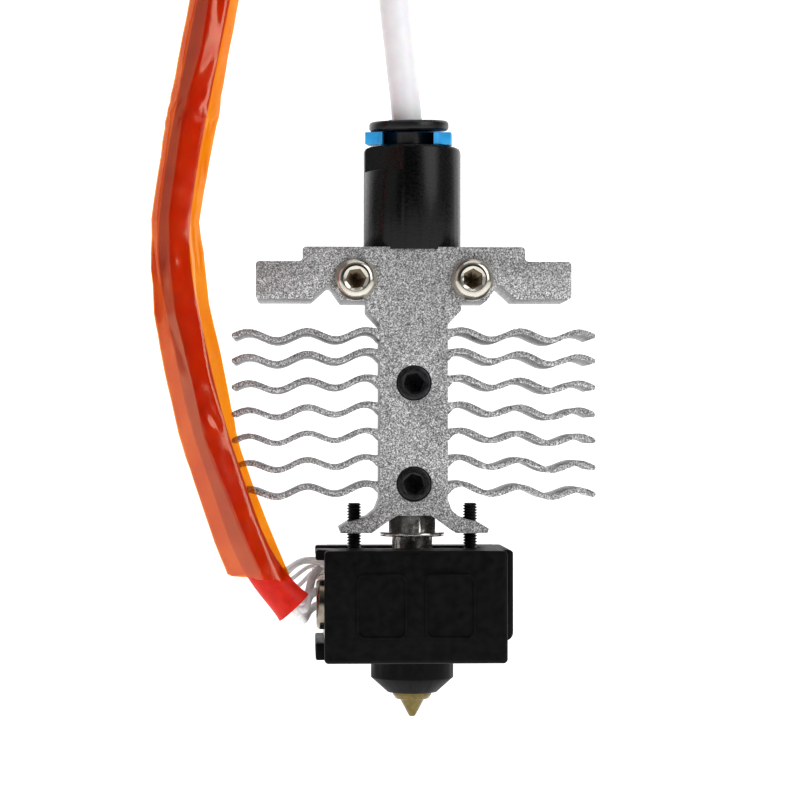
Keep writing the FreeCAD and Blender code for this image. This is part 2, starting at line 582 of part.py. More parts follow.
def make_sock():
    """The silicone boot: open on the left and on top, with a neck that grips the nozzle."""
    shell = slab("sock_shell", ("0 - sock_half", "sock_half"), ("sock_front", "sock_back"),
                 ("sock_bottom", "sock_top"))
    cheek = slab("sock_cheek", ("0", "cheek_right"), ("cheek_front", "sock_back - 1"),
                 ("cheek_low", "cheek_top"))
    lip = slab("sock_lip", ("lip_left", "0"), ("cheek_front", "sock_back - 1"),
               ("lip_low", "lip_high"))
    brow = slab("sock_brow", ("lip_left", "0"), ("cheek_front", "sock_back - 1"),
                ("brow_low", "cheek_top"))
    neck = turned("sock_neck", [
        ("0", "sock_mouth"), ("sock_mouth_r", "sock_mouth"), ("sock_neck_r", "sock_neck_low"),
        ("sock_neck_r", "sock_bottom + 0.5"), ("0", "sock_bottom + 0.5"),
    ])
    rounded = [
        softened(shell, lambda box: dim("sock_fillet")),
        softened(cheek, cheek_radius),
        softened(lip, left_radius),
        softened(brow, left_radius),
    ]
    doc.recompute()
    solid = fused("sock_solid", rounded + [neck])
    skin = "sock_skin"
    pocket = slab("sock_pocket", (f"block_left - {skin}", f"block_right + {skin}"),
                  (f"block_front - {skin}", f"block_back + {skin}"),
                  (f"block_bottom - {skin}", f"block_top + {skin}"))
    door = slab("sock_door", ("lip_left - 1", "block_left + 1"), ("cheek_front - 0.8", "block_back"),
                ("door_low", "brow_low"))
    slot = slab("sock_slot", ("lip_left - 1", "slot_right"), ("slot_front", "slot_back"),
                ("block_top - 1", "sock_top + 1"))
    mouth = turned("sock_mouth", [
        ("0", "sock_mouth - 1"), ("sock_mouth_bore_r", "sock_mouth - 1"),
        ("sock_mouth_bore_r", "sock_bore_low"), ("sock_bore_r", "sock_bore_low"),
        ("sock_bore_r", "block_bottom + 1"), ("0", "block_bottom + 1"),
    ])
    boot = cut("sock_boot", solid, [pocket, door, slot, mouth])
    frames = [made("relief", relief_frame(x)) for x in (-4.6, 4.6)]
    keep(fused("silicone_sock", [boot] + frames), "silicone_sock")


# ---------------------------------------------------------------- leads and tube
def rounded_path(points, report=""):
    """Straight runs joined by tangent arcs, each arc as large as its two runs allow."""
    corners = [Vector(*p) for p in points]
    edges, radii, start = [], [], corners[0]
    for before, corner, after in zip(corners, corners[1:], corners[2:]):
        back, ahead = (before - corner), (after - corner)
        half_turn = (math.pi - back.getAngle(ahead)) / 2
        reach = 0.45 * min(back.Length, ahead.Length)
        radii.append(round(reach / math.tan(half_turn), 1))
        back.normalize()
        ahead.normalize()
        first, last = corner + back * reach, corner + ahead * reach
        towards = (back + ahead).normalize()
        radius = reach / math.tan(half_turn)
        middle = corner + towards * (radius / math.cos(half_turn) - radius)
        edges += [Part.LineSegment(start, first).toShape(), Part.Arc(first, middle, last).toShape()]
        start = last
    edges.append(Part.LineSegment(start, corners[-1]).toShape())
    if report:
        print(report, "arc radii", radii)
    return Part.Wire(edges)


def cord_tube(label, points, radius, bore=0.0):
    """A plain tube along a rounded path, round in section, hollow if bore is given."""
    path = rounded_path(points, label)
    first = path.Edges[0]
    towards = first.tangentAt(first.FirstParameter)
    shape = path.makePipeShell([Part.Wire(Part.makeCircle(radius, Vector(*points[0]), towards))], True, True)
    if bore:
        core = path.makePipeShell([Part.Wire(Part.makeCircle(bore, Vector(*points[0]), towards))], True, True)
        shape = shape.cut(core)
    expected = math.pi * (radius ** 2 - bore ** 2) * path.Length
    print(label, "length", round(path.Length, 1), "volume ratio", round(shape.Volume / expected, 4))
    keep(made(label, shape), label)
    return path


LEAD_ROUTE = [
    (-16.4, -16.4, -44.6), (-19.6, -16.6, -41.2), (-22.6, -16.8, -36.0), (-25.2, -16.6, -28.4),
    (-28.4, -16.7, -19.0), (-30.8, -16.4, -8.0), (-33.0, -16.2, 3.0), (-31.8, -16.3, 14.6),
    (-29.6, -16.2, 26.0), (-27.2, -15.9, 38.5), (-24.6, -15.8, 50.0), (-23.0, -15.6, 61.0),
    (-22.4, -15.7, 71.5), (-22.6, -15.6, 81.5),
]
FILM_ROUTE = [(-20.5, -16.75, -40.4)] + LEAD_ROUTE[2:12] + [(-22.7, -15.65, 66.0)]
TUBE_ROUTE = [(0, -6, 2.0), (0, -6, 17.5), (-2.45, -7.9, 37.2), (-3.9, -7.4, 52.0), (-4.2, -6, 66.0)]


def coil_ring():
    """The outer shape of the spare tube's turns, side by side in an upright ring."""
    centre = Vector(dim("coil_x"), 0, dim("coil_z"))
    inner, outer = dim("coil_mid_r") - dim("coil_half"), dim("coil_mid_r") + dim("coil_half")
    wide = dim("coil_far") - dim("coil_near")
    start = centre + Vector(0, dim("coil_near"), 0)
    solid = Part.makeCylinder(outer, wide, start, Vector(0, 1, 0))
    return solid.cut(Part.makeCylinder(inner, wide, start, Vector(0, 1, 0)))


def make_tube():
    cord_tube("bowden_tube", TUBE_ROUTE, dim("tube_r"), dim("filament_r"))
    keep(made("bowden_coil", coil_ring()), "bowden_coil")
    tail_top = dim("coil_z") + dim("coil_mid_r")
    line = Vector(0, dim("tail_y"), tail_top)
    rotation = Rotation(Vector(0, 1, 0), 90)
    keep(ring("tail", "filament_r", "tube_r", "coil_x", "tail_end", line, rotation), "bowden_tail")
    gap = 0.1
    x_in, x_out = dim("coil_mid_r") - dim("coil_half") - gap, dim("coil_mid_r") + dim("coil_half") + gap
    y_low, y_high = dim("coil_near") - gap, dim("coil_far") + gap
    thick, wide = dim("tie_thick"), dim("tie_wide")
    base = Vector(dim("coil_x") + x_in, y_low, dim("coil_z") - wide / 2)
    hole = Part.makeBox(x_out - x_in, y_high - y_low, wide, base)
    shell = Part.makeBox(x_out - x_in + 2 * thick, y_high - y_low + 2 * thick, wide,
                         base - Vector(thick, thick, 0))
    keep(made("coil_tie", shell.cut(hole)), "coil_tie")


def make_leads():
    """The sleeve with its film wrap, and the four wires at both of its ends."""
    cord_tube("lead_sleeve", LEAD_ROUTE, dim("sleeve_r"))
    cord_tube("film_wrap", FILM_ROUTE, dim("film_r"), dim("film_bore_r"))
    short_wires = {
        "heater_lead_a": ([(-13.4, -12.6, -43.4), (-14.5, -12.6, -43.4), (-15.4, -14.3, -44.5),
                           (-16.1, -15.4, -44.1)], "heater_wire_r"),
        "heater_lead_b": ([(-13.4, -14.4, -45.4), (-14.6, -14.4, -45.4), (-15.7, -16.3, -46.2),
                           (-16.9, -16.6, -45.2)], "heater_wire_r"),
        "thermistor_lead_a": ([(-14.0, -1.5, -41.6), (-17.0, -1.5, -41.6), (-19.6, -6.6, -39.2),
                               (-20.6, -11.0, -37.6), (-21.4, -14.4, -35.7)], "sensor_wire_r"),
        "thermistor_lead_b": ([(-14.0, -0.3, -41.6), (-16.6, -0.3, -41.6), (-20.6, -5.4, -38.0),
                               (-22.0, -10.4, -36.2), (-22.6, -14.0, -34.6)], "sensor_wire_r"),
    }
    for label, (points, radius) in short_wires.items():
        cord_tube(label, points, dim(radius))


def make_plugs():
    """Wire tails that arch over at the sleeve's upper end, each pair in a two-way plug."""
    end = Vector(*LEAD_ROUTE[-1])
    pairs = (("heater", -1, "heater_wire_r", 15.5), ("thermistor", 1, "sensor_wire_r", 11.5))
    for name, side, radius, reach in pairs:
        for letter, offset in (("a", -1), ("b", 1)):
            y_in, y_out = end.y + offset * 1.0, end.y + offset * dim("plug_pitch") / 2
            x_in = end.x + side * 1.0
            points = [
                (x_in, y_in, end.z), (x_in + side * 0.3, y_in, end.z + 5),
                (x_in + side * 3.4, (y_in + y_out) / 2, end.z + 10), (end.x + side * (reach - 3), y_out, end.z + 9.4),
                (end.x + side * reach, y_out, end.z + 3), (end.x + side * reach, y_out, end.z - 5),
            ]
            cord_tube(f"{name}_tail_{letter}", points, dim(radius))
        middle = Vector(end.x + side * reach, end.y, end.z - 5)
        wide, deep, tall = dim("plug_deep"), dim("plug_wide"), dim("plug_tall")
        body = Part.makeBox(wide, deep, tall, middle + Vector(-wide / 2, -deep / 2, -tall))
        body = body.makeFillet(0.4, [e for e in body.Edges if abs(e.Vertexes[0].Z - e.Vertexes[1].Z) > 1])
        key = Part.makeBox(1.0, 1.6, tall - 3, middle + Vector(wide / 2 - 0.2, -0.8, -tall))
        body = body.fuse(key)
        terminals = []
        for offset in (-1, 1):
            centre = middle + Vector(0, offset * dim("plug_pitch") / 2, -tall)
            side_length = dim("terminal_side")
            hollow = Part.makeBox(side_length + 0.1, side_length + 0.1, dim("terminal_tall") + 0.1,
                                  centre - Vector((side_length + 0.1) / 2, (side_length + 0.1) / 2, 0))
            body = body.cut(hollow)
            terminal = Part.makeBox(side_length, side_length, dim("terminal_tall") - 0.4,
                                    centre - Vector(side_length / 2, side_length / 2, -0.4))
            slot = Part.makeBox(0.8, 0.8, 5, centre - Vector(0.4, 0.4, -0.3))
            terminals.append(terminal.cut(slot))
        keep(made(f"{name}_plug", body.removeSplitter()), f"{name}_plug")
        keep(made(f"{name}_terminals", Part.makeCompound(terminals)), f"{name}_terminals")


make_heatsink()
make_mount_screws()
make_set_screws()
make_coupler()
make_clip()
make_filament_path()
make_nozzle()
make_block()
make_heater_and_sensor()
make_sock()
make_tube()
make_leads()
make_plugs()
doc.recompute()

failed = [obj.Label for obj in doc.Objects if {"Invalid", "Error"} & set(obj.State)]
for label, piece in nodes.items():
    if piece.Shape.isNull() or not piece.Shape.isValid() or not piece.Shape.Solids:
        failed.append(label)
if failed:
    raise RuntimeError("pieces that failed: " + ", ".join(failed))

os.makedirs("parts", exist_ok=True)
for label, piece in nodes.items():
    piece.Shape.exportStep(f"parts/{label}.step")
print(len(nodes), "pieces written")
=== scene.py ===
import json
import math
import random

import bmesh
import bpy
from mathutils import Matrix, Vector, noise


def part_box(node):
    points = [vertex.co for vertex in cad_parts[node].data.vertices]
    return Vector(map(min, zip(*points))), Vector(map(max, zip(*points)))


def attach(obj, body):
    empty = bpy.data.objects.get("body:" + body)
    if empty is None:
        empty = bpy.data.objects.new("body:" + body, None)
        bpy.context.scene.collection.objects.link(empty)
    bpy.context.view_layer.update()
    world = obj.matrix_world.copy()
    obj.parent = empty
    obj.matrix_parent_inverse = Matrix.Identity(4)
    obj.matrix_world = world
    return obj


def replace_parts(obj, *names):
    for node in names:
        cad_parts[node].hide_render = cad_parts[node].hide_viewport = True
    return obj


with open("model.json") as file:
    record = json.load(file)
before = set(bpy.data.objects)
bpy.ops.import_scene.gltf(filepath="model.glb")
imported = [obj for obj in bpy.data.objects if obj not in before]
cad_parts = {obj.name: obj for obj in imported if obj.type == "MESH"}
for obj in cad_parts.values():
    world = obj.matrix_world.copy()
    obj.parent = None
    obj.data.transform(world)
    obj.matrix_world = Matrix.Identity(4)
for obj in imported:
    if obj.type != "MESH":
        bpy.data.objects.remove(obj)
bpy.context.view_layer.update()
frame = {"nodes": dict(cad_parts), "record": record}

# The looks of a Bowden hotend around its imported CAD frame. Lengths in the row frame are in
# metres; MM turns the millimetres of a named size into metres.
MM = 0.001
# the carriage screws, in mm: how far each stands from the middle, the depth of the face they
# seat on and the height of their heads
SCREW_X, SCREW_SEAT, SCREW_HIGH = 8.0, 12.02, 1.85


# ---------------------------------------------------------------- camera
CAMERA_PLACE = Vector((-15.2, -336.7, -22.05)) * MM
CAMERA_TURN, CAMERA_RISE = math.radians(2.34), math.radians(0.97)
FOCAL_WIDTHS = 2.9625  # focal length in widths of the frame
SENSOR = 36.0  # mm


def make_camera():
    """Almost square on, a little from the left and from below."""
    data = bpy.data.cameras.new("camera")
    data.sensor_width = SENSOR
    data.lens = FOCAL_WIDTHS * SENSOR
    data.clip_start, data.clip_end = 0.01, 10.0
    camera = bpy.data.objects.new("camera", data)
    camera.location = CAMERA_PLACE
    camera.rotation_euler = (math.pi / 2 + CAMERA_RISE, 0, -CAMERA_TURN)
    bpy.context.scene.collection.objects.link(camera)
    bpy.context.scene.camera = camera


make_camera()


# ---------------------------------------------------------------- materials
NOISE_RANGE = (0.3, 0.7)  # where most values of a noise pattern lie
# the painted shade in the screws' sockets, in mm: the radii where it ends, how far below the
# head's top it begins, and how far past its two ends it fades
SOCKET_SHADE_EDGE, SOCKET_TOP, SOCKET_SHADE_FADE = (1.60, 1.64), 0.24, (-0.02, 0.03)


def new_material(name):
    material = bpy.data.materials.new(name)
    material.use_nodes = True
    return material, material.node_tree.links


def shader_of(material):
    return next(n for n in material.node_tree.nodes if n.type == "BSDF_PRINCIPLED")


def grain(material, scale, detail=2.0, stretch=(1, 1, 1)):
    """A noise pattern in the row frame; scale is in features per metre."""
    nodes, links = material.node_tree.nodes, material.node_tree.links
    place = nodes.new("ShaderNodeTexCoord")
    shift = nodes.new("ShaderNodeMapping")
    shift.inputs["Scale"].default_value = stretch
    pattern = nodes.new("ShaderNodeTexNoise")
    pattern.inputs["Scale"].default_value = scale
    pattern.inputs["Detail"].default_value = detail
    links.new(place.outputs["Object"], shift.inputs["Vector"])
    links.new(shift.outputs["Vector"], pattern.inputs["Vector"])
    return pattern.outputs["Fac"]


def ramp(material, value, stops):
    """A colour ramp through (place, colour) stops."""
    nodes, links = material.node_tree.nodes, material.node_tree.links
    node = nodes.new("ShaderNodeValToRGB")
    while len(node.color_ramp.elements) < len(stops):
        node.color_ramp.elements.new(0.5)
    for element, (place, colour) in zip(node.color_ramp.elements, stops):
        element.position = place
        element.color = (*colour, 1)
    links.new(value, node.inputs["Fac"])
    return node.outputs["Color"]


def map_range(owner, value, source, target, interpolation="LINEAR"):
    """A value carried over from one (low, high) range to another, in a material or a world."""
    node = owner.node_tree.nodes.new("ShaderNodeMapRange")
    node.interpolation_type = interpolation
    node.inputs["From Min"].default_value, node.inputs["From Max"].default_value = source
    node.inputs["To Min"].default_value, node.inputs["To Max"].default_value = target
    owner.node_tree.links.new(value, node.inputs["Value"])
    return node.outputs["Result"]


def spread(material, value, low, high):
    """The value of a noise pattern carried over to the range from low to high."""
    return map_range(material, value, NOISE_RANGE, (low, high))


def calculate(material, operation, first, second=None):
    """A math node's result from a socket and, if given, a number or another socket."""
    node = material.node_tree.nodes.new("ShaderNodeMath")
    node.operation = operation
    material.node_tree.links.new(first, node.inputs[0])
    if isinstance(second, float):
        node.inputs[1].default_value = second
    elif second is not None:
        material.node_tree.links.new(second, node.inputs[1])
    return node.outputs["Value"]


def see_through(material, share, tint=None):
    """Lets what is behind a material show; share is how much of its own surface stays."""
    nodes, links = material.node_tree.nodes, material.node_tree.links
    clear = nodes.new("ShaderNodeBsdfTransparent")
    if tint:
        links.new(tint, clear.inputs["Color"])
    mix = nodes.new("ShaderNodeMixShader")
    mix.inputs["Fac"].default_value = share
    output = next(n for n in nodes if n.type == "OUTPUT_MATERIAL")
    links.new(clear.outputs["BSDF"], mix.inputs[1])
    links.new(shader_of(material).outputs["BSDF"], mix.inputs[2])
    links.new(mix.outputs["Shader"], output.inputs["Surface"])


def bump(material, value, strength, distance, before=None):
    """The normal of a pattern's relief, on top of the relief before it."""
    nodes, links = material.node_tree.nodes, material.node_tree.links
    node = nodes.new("ShaderNodeBump")
    node.inputs["Strength"].default_value = strength
    node.inputs["Distance"].default_value = distance
    links.new(value, node.inputs["Height"])
    if before:
        links.new(before, node.inputs["Normal"])
    return node.outputs["Normal"]


def finish_material(name, colours, rough, metallic=0.0, scale=900.0, bumps=(), specular=0.5,
                    subsurface=0.0, sub_radius=1.0):
    """A procedural material: two tones mixed by noise, a roughness range and layers of bump.

    bumps is a list of (scale, stretch, strength, distance)."""
    material, links = new_material(name)
    shader = shader_of(material)
    pattern = grain(material, scale, 3.0)
    colour = ramp(material, pattern, list(zip(NOISE_RANGE, colours)))
    links.new(colour, shader.inputs["Base Color"])
    links.new(spread(material, pattern, *rough), shader.inputs["Roughness"])
    shader.inputs["Metallic"].default_value = metallic
    shader.inputs["Specular IOR Level"].default_value = specular
    shader.inputs["Subsurface Weight"].default_value = subsurface
    shader.inputs["Subsurface Scale"].default_value = sub_radius * MM
    normal = None
    for bump_scale, bump_stretch, strength, distance in bumps:
        relief = grain(material, bump_scale, 3.0, bump_stretch)
        normal = bump(material, relief, strength, distance, normal)
    if normal:
        links.new(normal, shader.inputs["Normal"])
    return material


def blasted_aluminium():
    """Sandblasted metal: a dense speckle of bright and dark facets."""
    material, links = new_material("blasted_aluminium")
    shader = shader_of(material)
    fine = grain(material, 6200, 1.0)
    colour = ramp(material, fine, [(0.28, (0.05, 0.05, 0.053)), (0.43, (0.25, 0.25, 0.253)),
                                   (0.57, (0.45, 0.45, 0.453)), (0.70, (0.88, 0.88, 0.88))])
    links.new(colour, shader.inputs["Base Color"])
    links.new(spread(material, fine, 0.62, 0.42), shader.inputs["Roughness"])
    shader.inputs["Metallic"].default_value = 0.5
    facets = bump(material, fine, 0.5, 0.05 * MM)
    uneven = bump(material, grain(material, 700, 2.0), 0.12, 0.1 * MM, facets)
    links.new(uneven, shader.inputs["Normal"])
    return material


def film_material():
    """Thin amber film: a clear tint under a glossy skin that mirrors its surroundings."""
    material, links = new_material("amber_film")
    shader = shader_of(material)
    pattern = grain(material, 260, 1.0)
    gloss_colour = ramp(material, pattern,
                        [(0.3, (0.50, 0.06, 0.002)), (0.7, (0.70, 0.12, 0.004))])
    links.new(gloss_colour, shader.inputs["Base Color"])
    gloss = spread(material, grain(material, 500, 1.0), 0.10, 0.20)
    links.new(gloss, shader.inputs["Roughness"])
    shader.inputs["IOR"].default_value = 2.4
    shader.inputs["Specular IOR Level"].default_value = 1.0
    wrinkles = bump(material, grain(material, 420, 2.0, (1, 1, 0.5)), 0.2, 0.2 * MM)
    links.new(wrinkles, shader.inputs["Normal"])
    tint = ramp(material, pattern, [(0.25, (0.968, 0.68, 0.18)), (0.75, (0.982, 0.76, 0.26))])
    see_through(material, 0.13, tint)
    return material


def clear_plastic(name, colours, rough, share):
    """A milky plastic that lets some of what is behind it through."""
    material = finish_material(name, colours, rough, scale=350, subsurface=0.35, sub_radius=1.5,
                               bumps=[(1500, (1, 1, 0.2), 0.05, 0.05 * MM)])
    see_through(material, share)
    return material


def nickel_with_socket_shade():
    """Polished nickel, with painted shade: the colour darkened inside the sockets of the two
    carriage screws.
    """
    material = finish_material(
        "nickel_steel", [(0.50, 0.47, 0.41), (0.60, 0.565, 0.50)], (0.14, 0.24), 1.0, scale=700,
        bumps=[(1800, (1, 1, 1), 0.05, 0.02 * MM)])
    nodes, links = material.node_tree.nodes, material.node_tree.links
    place = nodes.new("ShaderNodeTexCoord")
    apart = nodes.new("ShaderNodeSeparateXYZ")
    links.new(place.outputs["Object"], apart.inputs["Vector"])

    # how far a point is from the nearer screw's axis
    outward = calculate(material, "ABSOLUTE", apart.outputs["X"])
    flat = nodes.new("ShaderNodeCombineXYZ")
    links.new(calculate(material, "SUBTRACT", outward, SCREW_X * MM), flat.inputs["X"])
    links.new(apart.outputs["Z"], flat.inputs["Z"])
    radius = nodes.new("ShaderNodeVectorMath")
    radius.operation = "LENGTH"
    links.new(flat.outputs["Vector"], radius.inputs[0])
    inside = map_range(material, radius.outputs["Value"],
                       (SOCKET_SHADE_EDGE[0] * MM, SOCKET_SHADE_EDGE[1] * MM), (1, 0))

    # and whether it is between the seat and the socket's mouth
    half_deep = (SCREW_HIGH - SOCKET_TOP) / 2
    below = calculate(material, "ADD", apart.outputs["Y"], (SCREW_SEAT + half_deep) * MM)
    deep = map_range(material, calculate(material, "ABSOLUTE", below),
                     ((half_deep + SOCKET_SHADE_FADE[0]) * MM, (half_deep + SOCKET_SHADE_FADE[1]) * MM), (1, 0))

    # painted shade: inside the sockets the base colour is multiplied by a dark brown
    mix = nodes.new("ShaderNodeMix")
    mix.data_type, mix.blend_type = "RGBA", "MULTIPLY"
    shader = shader_of(material)
    links.new(calculate(material, "MULTIPLY", inside, deep), mix.inputs[0])
    links.new(shader.inputs["Base Color"].links[0].from_socket, mix.inputs[6])
    # the colour of the painted shade in the sockets
    mix.inputs[7].default_value = (0.20, 0.165, 0.13, 1)
    links.new(mix.outputs[2], shader.inputs["Base Color"])
    return material


MATERIALS = {
    "blasted_aluminium": blasted_aluminium(),
    "black_anodised": finish_material(
        "black_anodised", [(0.001, 0.001, 0.0012), (0.003, 0.003, 0.003)], (0.22, 0.33), 0.2,
        scale=2600, specular=0.25,
        bumps=[(3600, (0.22, 0.22, 1), 0.45, 0.04 * MM), (2400, (1, 1, 1), 0.12, 0.02 * MM)]),
    "brass": finish_material(
        "brass", [(0.11, 0.083, 0.030), (0.165, 0.127, 0.048)], (0.22, 0.4), 1.0, scale=1800,
        bumps=[(6000, (0.15, 0.15, 1), 0.3, 0.02 * MM)]),
    "seal_rubber": finish_material(
        "seal_rubber", [(0.012, 0.012, 0.012), (0.03, 0.03, 0.03)], (0.5, 0.65)),
    "bright_steel": finish_material(
        "bright_steel", [(0.50, 0.48, 0.45), (0.66, 0.64, 0.61)], (0.16, 0.3), 1.0, scale=1500,
        bumps=[(7000, (0.1, 0.1, 1), 0.25, 0.015 * MM)]),
    "cartridge_steel": finish_material(
        "cartridge_steel", [(0.15, 0.12, 0.095), (0.27, 0.235, 0.19)], (0.12, 0.28), 1.0,
        bumps=[(4000, (1, 0.2, 0.2), 0.2, 0.015 * MM)]),
    "black_plastic": finish_material(
        "black_plastic", [(0.003, 0.003, 0.0035), (0.008, 0.008, 0.009)], (0.24, 0.36),
        scale=700, specular=0.3, bumps=[(2500, (1, 1, 1), 0.06, 0.02 * MM)]),
    "blue_plastic": finish_material(
        "blue_plastic", [(0.012, 0.29, 0.66), (0.02, 0.38, 0.80)], (0.3, 0.42), scale=600,
        subsurface=0.15, bumps=[(2200, (1, 1, 1), 0.06, 0.02 * MM)]),
    "ptfe": clear_plastic("ptfe", [(0.84, 0.84, 0.88), (0.92, 0.92, 0.94)], (0.32, 0.42), 0.94),
    "tie_plastic": finish_material(
        "tie_plastic", [(0.012, 0.012, 0.012), (0.03, 0.03, 0.03)], (0.35, 0.5)),
    "black_steel": finish_material(
        "black_steel", [(0.008, 0.008, 0.009), (0.03, 0.03, 0.032)], (0.26, 0.42), 0.7,
        scale=2200, bumps=[(4200, (1, 1, 1), 0.12, 0.02 * MM)]),
    "nickel_steel": nickel_with_socket_shade(),
    "block_metal": finish_material(
        "block_metal", [(0.50, 0.47, 0.42), (0.66, 0.63, 0.58)], (0.2, 0.36), 1.0, scale=1100,
        bumps=[(3600, (1, 0.15, 1), 0.2, 0.02 * MM)]),
    "black_silicone": finish_material(
        "black_silicone", [(0.0022, 0.0022, 0.0023), (0.006, 0.006, 0.0062)], (0.42, 0.56),
        specular=0.05,
        bumps=[(3000, (1, 1, 1), 0.22, 0.03 * MM), (350, (1, 1, 1), 0.10, 0.12 * MM)]),
    "wire_white": finish_material(
        "wire_white", [(0.72, 0.72, 0.73), (0.9, 0.9, 0.9)], (0.4, 0.6), scale=2500,
        bumps=[(6000, (1, 1, 1), 0.4, 0.04 * MM)]),
    "wire_clear": clear_plastic(
        "wire_clear", [(0.78, 0.78, 0.8), (0.9, 0.9, 0.91)], (0.16, 0.3), 0.75),
    "red_silicone": finish_material(
        "red_silicone", [(0.55, 0.009, 0.003), (0.72, 0.018, 0.006)], (0.42, 0.56), scale=700,
        specular=0.2, subsurface=0.05, sub_radius=0.5,
        bumps=[(2600, (1, 1, 1), 0.15, 0.03 * MM)]),
    "amber_film": film_material(),
    "plug_plastic": finish_material(
        "plug_plastic", [(0.70, 0.68, 0.62), (0.80, 0.78, 0.73)], (0.32, 0.45), scale=700,
        subsurface=0.15, bumps=[(2400, (1, 1, 1), 0.06, 0.02 * MM)]),
    "tin_terminal": finish_material(
        "tin_terminal", [(0.55, 0.55, 0.55), (0.7, 0.7, 0.7)], (0.2, 0.35), 1.0, scale=1800,
        bumps=[(4200, (1, 1, 0.2), 0.15, 0.02 * MM)]),
}
SLOT_OF = {part["node"]: part["material_slot"] for part in frame["record"]["subparts"]}
BODY_OF = {node: body for body, names in frame["record"]["behaviour"]["bodies"].items()
           for node in names}


# ---------------------------------------------------------------- mesh helpers
SAME_PLACE = 0.002  # mm between vertices that are one
FLAT_ANGLE, EDGE_ANGLE = math.radians(0.6), math.radians(30)  # kept flat, and eased
CREASE_ANGLE = math.radians(50)  # the least angle that a tube's or the film's shading shows
CURVE_STEPS = 12  # steps of a curve between two of its control points


def placed(name, mesh, node, look=None):
    """Links a piece that stands for a CAD node, with its body, slot and material."""
    piece = bpy.data.objects.new(name, mesh)
    bpy.context.scene.collection.objects.link(piece)
    mesh.materials.clear()
    mesh.materials.append(MATERIALS[look or SLOT_OF[node]])
    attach(piece, BODY_OF[node])
    return piece


def mesh_from(name, verts, faces):
    """A smooth-shaded mesh with its faces turned outwards."""
    mesh = bpy.data.meshes.new(name)
    mesh.from_pydata([tuple(v) for v in verts], [], faces)
    bm = bmesh.new()
    bm.from_mesh(mesh)
    bmesh.ops.recalc_face_normals(bm, faces=bm.faces)
    bm.to_mesh(mesh)
    bm.free()
    mesh.shade_smooth()
    return mesh


def closed_rings(name, verts, around, rows):
    """A closed mesh from rows of around vertices each, joined by faces and capped at both ends."""
    faces = [(j * around + k, j * around + (k + 1) % around,
              (j + 1) * around + (k + 1) % around, (j + 1) * around + k)
             for j in range(rows - 1) for k in range(around)]
    faces.append(tuple(reversed(range(around))))
    faces.append(tuple(range((rows - 1) * around, rows * around)))
    return mesh_from(name, verts, faces)


def with_modifiers(name, mesh, setup):
    """The mesh after the modifiers that setup adds to a helper object."""
    helper = bpy.data.objects.new(name + "_helper", mesh)
    bpy.context.scene.collection.objects.link(helper)
    setup(helper)
    result = bpy.data.meshes.new_from_object(
        helper.evaluated_get(bpy.context.evaluated_depsgraph_get()))
    bpy.data.objects.remove(helper)
    result.name = name
    return result


def eased(node, width, segments=2, look=None, drop=None):
    """The CAD node's own shape with its sharp edges eased, as a finer piece that replaces it.

    drop says which faces to leave out, by their middles."""
    source = frame["nodes"][node]
    bm = bmesh.new()
    bm.from_mesh(source.data)
    bmesh.ops.remove_doubles(bm, verts=bm.verts, dist=SAME_PLACE * MM)
    if drop:
        doomed = [f for f in bm.faces if drop(f.calc_center_median())]
        bmesh.ops.delete(bm, geom=doomed, context="FACES")
    bmesh.ops.dissolve_limit(bm, angle_limit=FLAT_ANGLE, verts=bm.verts, edges=bm.edges)
    mesh = bpy.data.meshes.new(node + "_eased")
    bm.to_mesh(mesh)
    bm.free()
    mesh.shade_smooth()

    def setup(helper):
        bevel = helper.modifiers.new("ease", "BEVEL")
        bevel.width = width * MM
        bevel.segments = segments
        bevel.limit_method = "ANGLE"
        bevel.angle_limit = EDGE_ANGLE
        bevel.harden_normals = True
        bevel.use_clamp_overlap = True

    piece = placed(f"{node}_skin", with_modifiers(node, mesh, setup), node, look)
    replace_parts(piece, node)
    return piece


def curve_points(route):
    """Points along the NURBS line that has the route's points, in mm, as its control points."""
    data = bpy.data.curves.new("route_probe", "CURVE")
    data.dimensions = "3D"
    data.resolution_u = CURVE_STEPS
    spline = data.splines.new("NURBS")
    spline.points.add(len(route) - 1)
    for point, place in zip(spline.points, route):
        point.co = (*(Vector(place) * MM), 1)
    spline.order_u = 3
    spline.use_endpoint_u = True
    curve = bpy.data.objects.new("route_probe", data)
    bpy.context.scene.collection.objects.link(curve)
    line = bpy.data.meshes.new_from_object(curve)
    points = [v.co.copy() for v in line.vertices]
    bpy.data.objects.remove(curve)
    return points


def frames_along(points):
    """A direction, side and top at each point, turning as little as possible on the way."""
    count = len(points)
    ways = [(points[min(i + 1, count - 1)] - points[max(i - 1, 0)]).normalized()
            for i in range(count)]
    side = ways[0].cross(Vector((0, 1, 0))).normalized()
    result = []
    for way in ways:
        side = (side - way * side.dot(way)).normalized()
        result.append((way, side, way.cross(side).normalized()))
    return result


def even_points(points, step):
    """Points at equal spacing along a line of points."""
    lengths = [0.0]
    for a, b in zip(points, points[1:]):
        lengths.append(lengths[-1] + (b - a).length)
    count = max(2, round(lengths[-1] / step))
    result, k = [], 0
    for i in range(count + 1):
        goal = lengths[-1] * i / count
        while k < len(points) - 2 and lengths[k + 1] < goal:
            k += 1
        share = (goal - lengths[k]) / max(lengths[k + 1] - lengths[k], 1e-12)
        result.append(points[k].lerp(points[k + 1], min(share, 1.0)))
    return result


